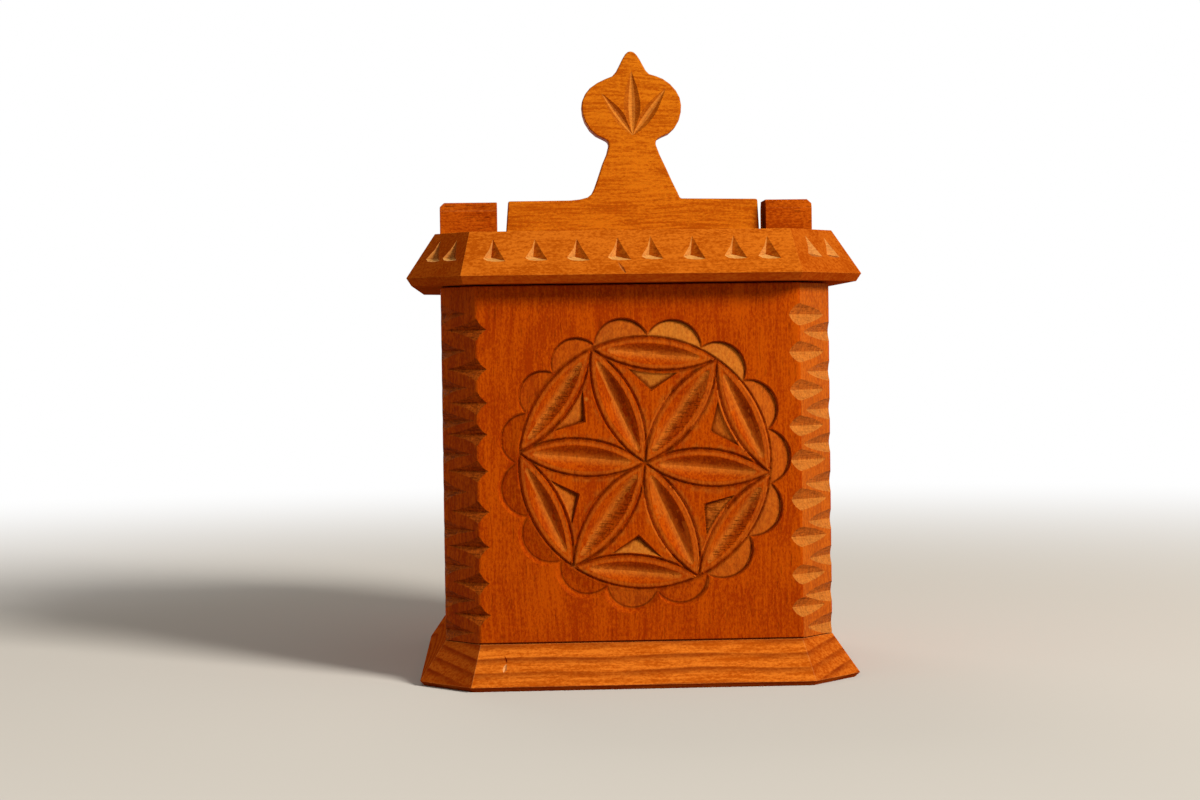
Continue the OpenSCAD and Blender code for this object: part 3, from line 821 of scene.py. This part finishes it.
RIGHT_FACE_ROW = (89.0, 80.0, 70.8, 62.1, 53.8, 44.3, 35.2, 26.1, 18.2)
RIGHT_SIDE_ROW = (84.8, 75.2, 65.9, 57.6, 48.1, 38.8, 29.9, 21.0, 13.2)
LEFT_FACE_ROW = (86.3, 76.8, 68.7, 61.1, 52.3, 42.5, 34.0, 25.3, 17.6)
LEFT_SIDE_ROW = (90.2, 81.3, 72.4, 64.5, 56.4, 47.3, 38.0, 29.2, 21.2, 13.3)


def notch_sets():
    """Four cutters, each with its places."""
    rng = random.Random(11)
    # Marks of the upper and the lower facets: the lower facets face up to the light and are painted paler, the upper
    # ones darker, as shade; the right-hand notches, on the lit side, are painted paler all over and the left-hand
    # ones browner
    pale = ((0.3, 0.08, 0.4), (0.64, 0.0, 0.4))
    brown = ((0.0, 0.3, 0.8), (0.16, 0.0, 1.0))
    sets = []
    for name, profile, mirrored, marks, row, turns in (
            ("right_face_notches", HOLLOW_NOTCH, False, pale, RIGHT_FACE_ROW, (0, 90)),
            ("right_side_notches", HOLLOW_NOTCH, True, pale, RIGHT_SIDE_ROW, (0, 90)),
            ("left_side_notches", FLARED_NOTCH, False, brown, LEFT_SIDE_ROW, (180, 270)),
            ("left_face_notches", FLARED_NOTCH, True, brown, LEFT_FACE_ROW, (180, 270))):
        x, y = (HALF, -ARRIS) if mirrored else (ARRIS, -HALF)
        places = []
        for turn in turns:
            a = math.radians(turn)
            at = (x * math.cos(a) - y * math.sin(a), x * math.sin(a) + y * math.cos(a))
            for z in row:
                size = rng.uniform(0.95, 1.05)
                places.append(((*at, z), (0, 0, turn + rng.uniform(-1, 1)), (size, size, rng.uniform(0.94, 1.06))))
        sets.append((tool(notch_cutter("cutter_" + name, profile, mirrored, marks)), stations(name, places)))
    return sets


def carved_wall(name):
    """The front wall's board, carved on its face, before its notches are cut."""
    bm = bmesh.new()
    plan = [(-ARRIS, -HALF), (ARRIS, -HALF), (MID_CUT, -MID_CUT), (INNER, -INNER), (-INNER, -INNER),
            (-MID_CUT, -MID_CUT)]
    low, high = ([bm.verts.new((x * MM, y * MM, z * MM)) for x, y in plan] for z in (BASE_TOP, WALL_TOP))
    bm.faces.new(low[::-1])
    bm.faces.new(high)
    for side in band(low, high):
        bm.faces.new(side)
    bm.normal_update()
    pairs = [(high[3], high[4]), (low[0], high[0]), (low[1], high[1])]
    for ring in (high, low):
        pairs += [(ring[5], ring[0]), (ring[0], ring[1]), (ring[1], ring[2])]
    bmesh.ops.bevel(bm, geom=[bm.edges.get(pair) for pair in pairs], offset=WALL_WEAR * MM, segments=3,
                    profile=0.5, affect="EDGES", clamp_overlap=True)
    bm.normal_update()
    face = max((f for f in bm.faces if f.normal.y < -0.99), key=lambda f: f.calc_area())
    rim = list(face.verts)
    xs = [v.co.x / MM for v in rim]
    zs = [v.co.z / MM for v in rim]
    flat, depth, marks, triangles = carved_face(min(xs), max(xs), min(zs), max(zs))
    bm.faces.remove(face)
    verts = []
    for (x, z), deep in zip(flat, depth):
        on_rim = [v for v in rim if abs(v.co.x / MM - x) < 0.005 and abs(v.co.z / MM - z) < 0.005]
        verts.append(on_rim[0] if on_rim else bm.verts.new((x * MM, (deep - HALF) * MM, z * MM)))
    layer = bm.loops.layers.float_vector.new("carving")
    for face in bm.faces:
        # dark finish gathers in the joint over the plinth
        low_down = max(v.co.z for v in face.verts) < (BASE_TOP + 1.2 * WALL_WEAR) * MM and abs(face.normal.z) < 0.98
        for loop in face.loops:
            loop[layer] = (0.0, 0.9 if low_down else 0.0, 0.0)
    for tri in triangles:
        (ax, az), (bx, bz), (cx, cz) = flat[list(tri)]
        area = (bx - ax) * (cz - az) - (bz - az) * (cx - ax)
        if abs(area) < 1e-9:
            continue
        tri = tri if area > 0 else tri[::-1]
        made = bm.faces.new([verts[i] for i in tri])
        for loop, i in zip(made.loops, tri):
            loop[layer] = marks[i]
    return mesh_of(name, bm)


def paint_corner_light_and_shade(mesh):
    """The right-hand corners, which face the light, are painted paler than the faces, as light, and the left-hand
    ones darker, as shade.
    """
    marks = mesh.attributes["carving"].data
    for face in mesh.polygons:
        if min(abs(face.normal.x), abs(face.normal.y)) > 0.6 and face.center.length > 0.05:
            mark(face, marks, (0.24, 0.0, 0.0) if face.center.x > 0 else (0.0, 0.14, 0.0))


def make_walls():
    sets = notch_sets()
    blank = carved_wall("wall_blank")
    for name, turn in (("front", 0), ("right", 90), ("back", 180), ("left", 270)):
        mesh = blank.copy()
        mesh.transform(Matrix.Rotation(math.radians(turn), 4, "Z"))
        paint_corner_light_and_shade(mesh)
        mesh.materials.append(body_wood)
        wall = link(name + "_wall_board", mesh)
        for cutter, where in sets:
            cut_chips(wall, cutter, where, chip_wood)
        settle(wall)
        finish_piece(wall, "box", [name + "_wall"], body_wood)


# ------------ lid

THORN_X = (-34.5, -24.5, -14.55, -4.8, 3.1, 13.1, 23.0, 31.1)
THORN_W = 4.9
THORN_L = 6.3
THORN_D = 1.6
THORN_FOOT = 4.5
CORNER_W = 4.7
CORNER_L = 5.6
CORNER_SPREAD = 2.9
# Slopes of the lid's and the plinth's fronts, in degrees
LID_TILT = 56.8
PLINTH_TILT = 55.9


def bevel_places():
    """Places of the thorns on the lid's bevels: on its sides, its left corners and its right corners."""
    rng = random.Random(3)

    def place(azimuth, near, far, along, foot, width, length):
        """near and far are the top edge's and the outer edge's distances from the middle."""
        out = Vector((math.cos(azimuth), math.sin(azimuth), 0))
        edge = Vector((-out.y, out.x, 0))
        rise = LID_TOP - LID_EDGE_Z
        run = far - near
        slope = math.hypot(rise, run)
        at = out * (far - run * foot / slope) + edge * along + Vector((0, 0, LID_EDGE_Z + rise * foot / slope))
        tilt = math.degrees(math.atan2(rise, run))
        return tuple(at), (tilt, 0, math.degrees(azimuth) + 90), (width, length, THORN_D)

    sides = []
    for quarter in range(4):
        row = THORN_X if quarter == 0 else [x + rng.uniform(-0.8, 0.8) for x in THORN_X]
        for x in row:
            sides.append(place(math.radians(-90 + 90 * quarter), LID_FLAT, LID_EDGE, x,
                               THORN_FOOT + rng.uniform(-0.15, 0.15), THORN_W * rng.uniform(0.92, 1.08),
                               THORN_L * rng.uniform(0.94, 1.05)))
    corners = {-1: [], 1: []}
    for side_x, side_y in ((-1, -1), (1, -1), (1, 1), (-1, 1)):
        wide_cut, top_cut = LID_CUTS[side_x]
        near = (2 * LID_FLAT - top_cut) / math.sqrt(2)
        far = (2 * LID_EDGE - wide_cut) / math.sqrt(2)
        spread = CORNER_SPREAD * (1.25 if side_x > 0 else 1)
        for along in (-spread, spread):
            corners[side_x].append(place(math.atan2(side_y, side_x), near, far, along, THORN_FOOT + 0.3,
                                         CORNER_W * rng.uniform(0.95, 1.05), CORNER_L * rng.uniform(0.95, 1.05)))
    return [stations(name, places) for name, places in (("side_thorns", sides), ("left_thorns", corners[-1]),
                                                        ("right_thorns", corners[1]))]


def nick_front(piece, wood, name, wall, bottom, low, high, width, tilt):
    """Cuts a nick into a front slope, from its low end to its high end."""
    run = Vector(high) - Vector(low)
    lean = math.asin(-run.x / run.length)
    turn = (Matrix.Rotation(math.radians(tilt), 3, "X") @ Matrix.Rotation(lean, 3, "Z")).to_euler("XYZ")
    where = stations(name, [(low, [math.degrees(a) for a in turn], (width, run.length, 0.6 * width))])
    cut_chips(piece, tool(leaf_cutter(name + "_cutter", wall, bottom)), where, wood)


def make_lid():
    # The lid's left corner is painted darker than its right, as shade, over the end grain's stain
    lid = worn_copy("lid_carved", "lid_board", BOARD_WEAR, wear_and_highlight=0.25, corners=(0.5, 0.3), rim=LID_EDGE_Z)
    lid.data.materials.append(lid_wood)
    # The thorns' left walls and feet face the light and are painted paler, as highlight, and their right walls
    # darker, as shade; the pale foot is also fresh cut wood
    thorn = tool(thorn_cutter("thorn_cutter", (0.5, 0.0, 0.1), (0.0, 0.34, 0.3), (1.0, 0.0, 0.1)))
    pale_thorn = tool(thorn_cutter("pale_thorn_cutter", (0.8, 0.0, 0.1), (0.58, 0.0, 0.3), (0.3, 0.35, 0.5)))
    for cutter, where in zip((thorn, thorn, pale_thorn), bevel_places()):
        cut_chips(lid, cutter, where, lid_chip_wood)
    nick_front(lid, lid_chip_wood, "lid_nick", (0.2, 0.1, 0.0), (0.5, 0.0, 0.0), (-3.19, -55.48, 99.19),
               (-4.95, -53.72, 101.88), 0.75, LID_TILT)
    settle(lid)
    finish_piece(lid, "lid", ["lid_board"], lid_wood)
    for side in ("left", "right"):
        # The blocks' end faces are darker for their end grain and for painted shade
        plain_piece(side + "_block_worn", side + "_end_block", "lid", block_wood, 0.95, 4, 0.12, 0.6)
        plain_piece(side + "_cleat_planed", side + "_cleat", "lid", inner_wood)


# ------------ key board

BOARD_T = 6.0
BOARD_Z = 110.0
# Half-widths of the tenon in the lid and of its hub below, and where the hub begins
TENON = 15.0
HUB = 4
HUB_TOP = 96.8
# Outline above the bar, from the bar's right end over the tip to its left end
RIGHT_SIDE = [(34.5, 120.0), (14.3, 120.3), (13.7, 121.7), (12.2, 124.8), (10.7, 128.2), (9.1, 131.6),
              (8.1, 134.3), (8.05, 135.2), (8.6, 135.9), (9.7, 136.5), (11.6, 137.3), (13.1, 138.7),
              (14.2, 140.6), (14.75, 142.7), (14.85, 144.6), (14.5, 146.5), (13.5, 148.4), (12.0, 150.1),
              (10.2, 151.4), (8.3, 152.2), (6.6, 152.7), (5.7, 153.6), (4.9, 155.1), (4.1, 156.6),
              (3.3, 157.8), (2.5, 158.45), (1.8, 158.65)]
LEFT_SIDE = [(1.1, 158.5), (0.4, 157.9), (-0.4, 156.6), (-1.3, 154.8), (-2.1, 153.3), (-3.1, 152.2),
             (-4.9, 151.5), (-7.0, 150.5), (-8.9, 149.2), (-10.2, 147.6), (-10.9, 146.0), (-11.1, 144.4),
             (-10.9, 142.4), (-10.3, 140.5), (-9.0, 138.4), (-7.5, 137.0), (-5.7, 136.1), (-4.5, 135.5),
             (-4.1, 134.6), (-4.7, 132.2), (-5.8, 129.7), (-6.6, 127.3), (-7.4, 125.0), (-8.1, 123.1),
             (-8.9, 121.6), (-9.9, 120.8), (-11.9, 120.3), (-14.5, 120.05), (-30.6, 120.0)]
# Where the finial's leaf cuts begin, and each cut's tip, width and depth
LEAF_ROOT = (2.1, 136.8)
LEAVES = (((1.9, 153.6), 4.4, 1.15), ((-5.9, 147.8), 3.0, 0.95), ((10.9, 149.0), 3.3, 1.05))


def darken_edge(mesh):
    """The sawn edge all round the board drank more stain than its faces."""
    marks = mesh.attributes["carving"].data
    chip = mesh.attributes["chip"].data
    for face in mesh.polygons:
        if abs(face.normal.y) < 0.95 and not chip[face.index].value:
            mark(face, marks, (0.0, 0.34 * (1 - abs(face.normal.y) ** 2), 0.0))


def make_key():
    low, high = (tuple(c / MM for c in corner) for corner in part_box("finial_board"))
    middle = (low[0] + high[0]) / 2
    foot = low[2]
    outline = [(middle - HUB, foot), (middle + HUB, foot), (middle + HUB, HUB_TOP), (middle + TENON, HUB_TOP),
               (middle + TENON, BOARD_Z), (high[0], BOARD_Z)]
    outline += RIGHT_SIDE + LEFT_SIDE
    outline += [(low[0], BOARD_Z), (middle - TENON, BOARD_Z), (middle - TENON, HUB_TOP), (middle - HUB, HUB_TOP)]
    bm = bmesh.new()
    front, back = ([bm.verts.new((x * MM, y * MM, z * MM)) for x, z in outline] for y in (-BOARD_T / 2, BOARD_T / 2))
    bm.faces.new(front)
    bm.faces.new(back[::-1])
    for side in band(back, front):
        bm.faces.new(side)
    bmesh.ops.recalc_face_normals(bm, faces=bm.faces)
    mesh = mesh_of("key_board_carved", bm)
    key = link(mesh.name, mesh)
    wear_edges(key, BOARD_WEAR, 3, 32)
    mesh.materials.append(key_wood)
    # The leaf cuts' steep walls are painted darker, as shade, and their rounded bottoms paler, as fresh cut wood and
    # painted highlight
    leaf = tool(leaf_cutter("leaf_cutter", (0.05, 0.25, 0.2), (0.5, 0.0, 0.1)))
    root = Vector(LEAF_ROOT)
    for i, (tip, width, depth) in enumerate(LEAVES):
        run = Vector(tip) - root
        lean = math.degrees(math.atan2(run.x, run.y))
        both = [((root.x, side * BOARD_T / 2, root.y), (90, lean, 0 if side < 0 else 180),
                 (width, run.length, depth)) for side in (-1, 1)]
        cut_chips(key, leaf, stations("leaf_places_%d" % i, both), key_chip_wood)
    settle(key)
    clear_slivers(key)
    darken_edge(key.data)
    finish_piece(key, "key", ["finial_board"], key_wood)
    plain_piece("cross_bolt_planed", "lock_bolt", "key", inner_wood)


# ------------ plinth and inner pieces

def make_plinth():
    # The plinth's left corner is painted darker than its right, as shade, over the end grain's stain; its end faces
    # are darker for end grain and painted shade
    plinth = worn_copy("plinth_worn", "base_plate", BOARD_WEAR, wear_and_highlight=0.25, corners=(0.52, 0.3), ends=0.6)
    plinth.data.materials.append(plinth_wood)
    for name, wall, bottom, low, high, width in (
            ("plinth_nick", (0.9, 0.0, 0.0), (1.0, 0.0, 0.0), (-33.5, -51.7, 4.4), (-32.8, -50.4, 6.3), 0.95),
            ("plinth_dent", (0.0, 0.5, 0.0), (0.0, 0.4, 0.0), (-32.7, -50.3, 6.45), (-33.2, -49.2, 8.1), 0.5)):
        nick_front(plinth, plinth_wood, name, wall, bottom, low, high, width, PLINTH_TILT)
    settle(plinth)
    finish_piece(plinth, "box", ["base_plate"], plinth_wood)
    for name in ("front_catch", "front_stop", "back_catch", "back_stop"):
        plain_piece(name + "_planed", name, "box", inner_wood)
    for name in ("base_pegs", "block_pegs", "cleat_pegs", "bolt_pin"):
        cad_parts[name].data.materials[0] = peg_wood


make_walls()
make_lid()
make_key()
make_plinth()
for helper in SCAFFOLD:
    bpy.data.objects.remove(helper)


# ------------ floor, lights and camera

def floor_material():
    """Matt painted board that fades to white away from the box."""
    material = bpy.data.materials.new("matt_floor_board")
    material.use_nodes = True
    tree = material.node_tree
    tree.nodes.clear()
    place = add(tree, "ShaderNodeTexCoord").outputs["Object"]
    away = add(tree, "ShaderNodeVectorMath", {0: place}, operation="LENGTH")
    fade = add(tree, "ShaderNodeMapRange", {"Value": away.outputs["Value"], "From Min": 0.16, "From Max": 0.75},
               interpolation_type="SMOOTHSTEP")
    seen = seen_directly(tree)
    share = add(tree, "ShaderNodeMath", {0: fade.outputs[0], 1: seen}, operation="MULTIPLY")
    board = add(tree, "ShaderNodeBsdfDiffuse", {"Color": linear("#c9c3b9"), "Roughness": 0.9})
    white = add(tree, "ShaderNodeEmission", {"Color": (1.0, 1.0, 1.0, 1.0), "Strength": 1.0})
    mix = add(tree, "ShaderNodeMixShader", {0: share.outputs[0], 1: board.outputs[0], 2: white.outputs[0]})
    add(tree, "ShaderNodeOutputMaterial", {"Surface": mix.outputs[0]})
    return material


def seen_directly(tree):
    """One where the camera, a gloss or a clear body looks at it, and nought for the light that it gives."""
    path = add(tree, "ShaderNodeLightPath")
    one = add(tree, "ShaderNodeMath", {0: path.outputs["Is Camera Ray"], 1: path.outputs["Is Glossy Ray"]},
              operation="MAXIMUM")
    return add(tree, "ShaderNodeMath", {0: one.outputs[0], 1: path.outputs["Is Transmission Ray"]},
               operation="MAXIMUM").outputs[0]


def make_stage():
    mesh = mesh_from("floor", [(-3000, -3000, 0), (3000, -3000, 0), (3000, 3000, 0), (-3000, 3000, 0)],
                     [(0, 1, 2, 3)])
    mesh.materials.append(floor_material())
    link("floor", mesh)
    world = bpy.data.worlds.new("studio")
    bpy.context.scene.world = world
    world.use_nodes = True
    tree = world.node_tree
    tree.nodes.clear()
    soft = add(tree, "ShaderNodeBackground", {"Color": (1.0, 0.98, 0.95, 1.0), "Strength": 0.27})
    white = add(tree, "ShaderNodeBackground", {"Color": (1.0, 1.0, 1.0, 1.0), "Strength": 1.0})
    mix = add(tree, "ShaderNodeMixShader", {0: seen_directly(tree), 1: soft.outputs[0], 2: white.outputs[0]})
    add(tree, "ShaderNodeOutputWorld", {"Surface": mix.outputs[0]})


def make_lamp(name, direction, distance, size, power, colour):
    lamp = bpy.data.lights.new(name, "AREA")
    lamp.shape = "DISK"
    lamp.size = size
    lamp.energy = power
    lamp.color = colour
    holder = bpy.data.objects.new(name, lamp)
    bpy.context.scene.collection.objects.link(holder)
    aim = Vector(direction).normalized()
    holder.location = Vector((0, 0, 0.07)) + aim * distance
    holder.rotation_mode = "QUATERNION"
    holder.rotation_quaternion = aim.to_track_quat("Z", "Y")


# The camera's place in metres, its yaw, pitch and roll in degrees, and its sensor in millimetres
CAMERA_PLACE = (-0.03268, -0.56558, 0.08165)
CAMERA_TURN = (2.573, 1.392, -0.791)
SENSOR = 36


def make_camera():
    yaw, pitch, roll = (math.radians(a) for a in CAMERA_TURN)
    forward = Vector((math.sin(yaw) * math.cos(pitch), math.cos(yaw) * math.cos(pitch), -math.sin(pitch)))
    level = Vector((math.cos(yaw), -math.sin(yaw), 0))
    upright = level.cross(forward)
    right = math.cos(roll) * level + math.sin(roll) * upright
    up = -math.sin(roll) * level + math.cos(roll) * upright
    lens = bpy.data.cameras.new("camera")
    lens.sensor_width = SENSOR
    lens.lens = 2158.3 * SENSOR / 1200
    lens.clip_start = 0.01
    lens.clip_end = 20
    camera = bpy.data.objects.new("camera", lens)
    bpy.context.scene.collection.objects.link(camera)
    turn = Matrix((right, up, -forward)).transposed().to_4x4()
    camera.matrix_world = Matrix.Translation(CAMERA_PLACE) @ turn
    bpy.context.scene.camera = camera


make_stage()
make_lamp("key_lamp", (0.61, -0.65, 0.43), 1.1, 0.34, 12.1, (1.0, 0.98, 0.95))
make_lamp("back_lamp", (-0.2, 0.8, 0.8), 1.3, 0.7, 8.0, (1.0, 0.98, 0.96))
make_camera()
bpy.context.scene.view_settings.view_transform = "Standard"
